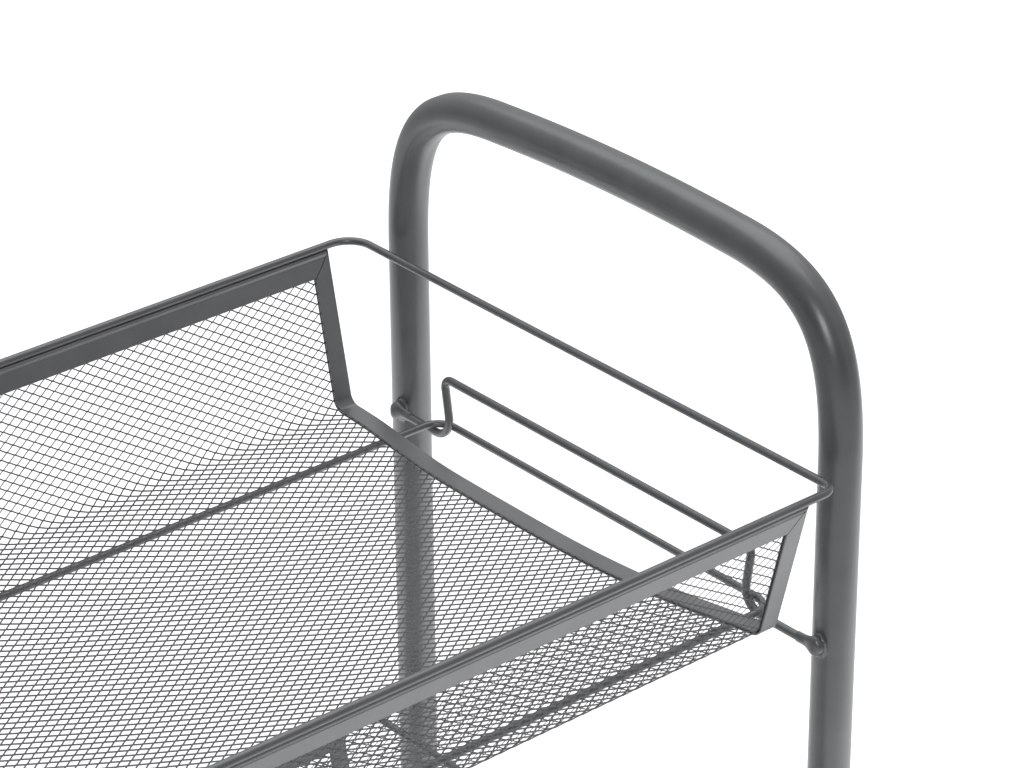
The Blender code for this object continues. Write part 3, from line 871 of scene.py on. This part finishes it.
for tier in TIERS:
    low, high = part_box(f"rim_wire_{tier}")
    for side in ("front", "back"):
        build_hem(tier, side, (low.z + high.z) / 2)
    for end, sign in (("left", -1), ("right", 1)):
        build_trim(tier, end, sign, (low.z + high.z) / 2)
print("strips fitted to", TIERS)

# %% [markdown]
# ## Castors
# The castors are small moulded ones. A wheel is round, so it is drawn as a half outline and spun round
# its axle with many steps. The outline has a raised rim, a recessed web and a hub, as a moulded wheel
# has to save plastic, and every corner is rounded.


# %% Turned parts
def turned_mesh(name, profile, centre, axis, steps=64):
    """Spins a closed (radius, height) outline round an axis through centre."""
    count = len(profile)
    turn_to = Matrix.Rotation(math.pi / 2, 3, "X") if axis == "Y" else Matrix.Identity(3)
    points = []
    for step in range(steps):
        angle = 2 * math.pi * step / steps
        for radius, height in profile:
            spun = Vector((radius * math.cos(angle), radius * math.sin(angle), height))
            points.append(Vector(centre) + turn_to @ spun)
    faces = []
    for step in range(steps):
        near, far = step * count, (step + 1) % steps * count
        for index in range(count):
            following = (index + 1) % count
            faces.append((near + index, near + following, far + following, far + index))
    mesh = bpy.data.meshes.new(name)
    mesh.from_pydata(points, [], faces)
    shape = bmesh.new()
    shape.from_mesh(mesh)
    bmesh.ops.remove_doubles(shape, verts=shape.verts, dist=0.002 * MM)
    shape.to_mesh(mesh)
    shape.free()
    return mesh


def soften(profile, radius, closed=True):
    """Rounds every corner of a (radius, height) outline, as far as its short sides allow."""
    corners = []
    count = len(profile)
    for index, (x, y) in enumerate(profile):
        place = Vector((x, y))
        before = (Vector(profile[index - 1]) - place).length
        after = (Vector(profile[(index + 1) % count]) - place).length
        corners.append((x, y, min(radius, min(before, after) * 0.4)))
    return [(max(point.x, 0.0), point.y) for point in rounded(corners, closed, steps=3)]


def mirrored_profile(half):
    """A half outline listed from the middle bore outwards, and its mirror image below."""
    return [*half, *[(radius, -height) for radius, height in reversed(half)]]


def centre_of(node):
    """The middle of a CAD node's box."""
    low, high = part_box(node)
    return (low + high) / 2


# The wheel's half outline: (radius, half width) in millimetres, from the bore to the middle of the tread.
WHEEL_HALF = [
    (3.3, 9.2),
    (6.6, 9.2),
    (7.2, 6.3),
    (15.8, 5.7),
    (17.2, 8.4),
    (18.6, 8.5),
    (18.9, 8.1),
    (20.9, 8.1),
    (22.4, 6.7),
    (23.0, 4.2),
]


def build_wheel(where):
    """One castor wheel, on its own spinning body."""
    node = f"castor_wheel_{where}"
    half = [(radius * MM, height * MM) for radius, height in WHEEL_HALF]
    profile = soften(mirrored_profile(half), 0.8 * MM)
    mesh = turned_mesh(node, profile, centre_of(node), "Y", steps=96)
    return finish_mesh(f"tread_wheel_{where}", mesh, TREAD, f"wheel_{where}", [node])


CASTORS = [f"{side}_{end}" for side in ("front", "back") for end in ("left", "right")]
for where in CASTORS:
    build_wheel(where)
print("wheels at", CASTORS)

# %% [markdown]
# The axle is a steel rivet with two domed heads, turned to the CAD's own sizes. The stems, plugs and
# brake pins show little of themselves, so they keep their CAD meshes and only get a finish.


# %% Axles, stems, pins and plugs
def build_axle(where):
    """One riveted axle, held by its fork."""
    node = f"castor_axle_{where}"
    low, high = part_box(node)
    head = (high.x - low.x) / 2
    reach = (high.y - low.y) / 2
    shaft = 3.0 * MM
    under_head = reach - 1.5 * MM
    dome = [(0, reach), (head * 0.35, reach - 0.1 * MM), (head * 0.7, reach - 0.45 * MM)]
    half = [*dome, (head, reach - 1.1 * MM), (head, under_head), (shaft, under_head)]
    mesh = turned_mesh(node, mirrored_profile(half), centre_of(node), "Y", steps=48)
    return finish_mesh(f"rivet_axle_{where}", mesh, ZINC, f"castor_{where}", [node])


def recoat(node, material):
    """Gives a CAD node that stays its finish."""
    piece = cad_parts[node]
    piece.data.materials.clear()
    piece.data.materials.append(material)
    piece.data.shade_smooth()
    piece.data.set_sharp_from_angle(angle=math.radians(35))


for where in CASTORS:
    build_axle(where)
    recoat(f"castor_stem_{where}", ZINC)
    recoat(f"tube_plug_{where}", PLASTIC)
for end in ("left", "right"):
    recoat(f"brake_pin_front_{end}", ZINC)
print("axles riveted")

# %% [markdown]
# The fork and the brake lever keep the CAD shape, because it is right. But moulded plastic never has a
# sharp edge, so copies of their meshes get a narrow bevel.


# %% Forks and brake levers
def moulded_copy(name, node, width, body):
    """A black plastic copy of a CAD mesh with its flat faces merged and its edges bevelled."""
    shape = bmesh.new()
    shape.from_mesh(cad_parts[node].data)
    bmesh.ops.remove_doubles(shape, verts=shape.verts, dist=0.005 * MM)
    bmesh.ops.dissolve_limit(shape, angle_limit=math.radians(3), verts=shape.verts, edges=shape.edges)
    mesh = bpy.data.meshes.new(name)
    shape.to_mesh(mesh)
    shape.free()
    piece = finish_mesh(name, mesh, PLASTIC, body, [node])
    bevel = piece.modifiers.new("moulded edge", "BEVEL")
    bevel.width = width
    bevel.segments = 3
    bevel.limit_method = "ANGLE"
    bevel.angle_limit = math.radians(40)
    bevel.harden_normals = True
    return piece


for where in CASTORS:
    moulded_copy(f"moulded_fork_{where}", f"castor_fork_{where}", 0.5 * MM, f"castor_{where}")
for end in ("left", "right"):
    where = f"front_{end}"
    moulded_copy(f"foot_brake_{where}", f"brake_lever_{where}", 0.4 * MM, f"brake_{where}")
print("castors finished")
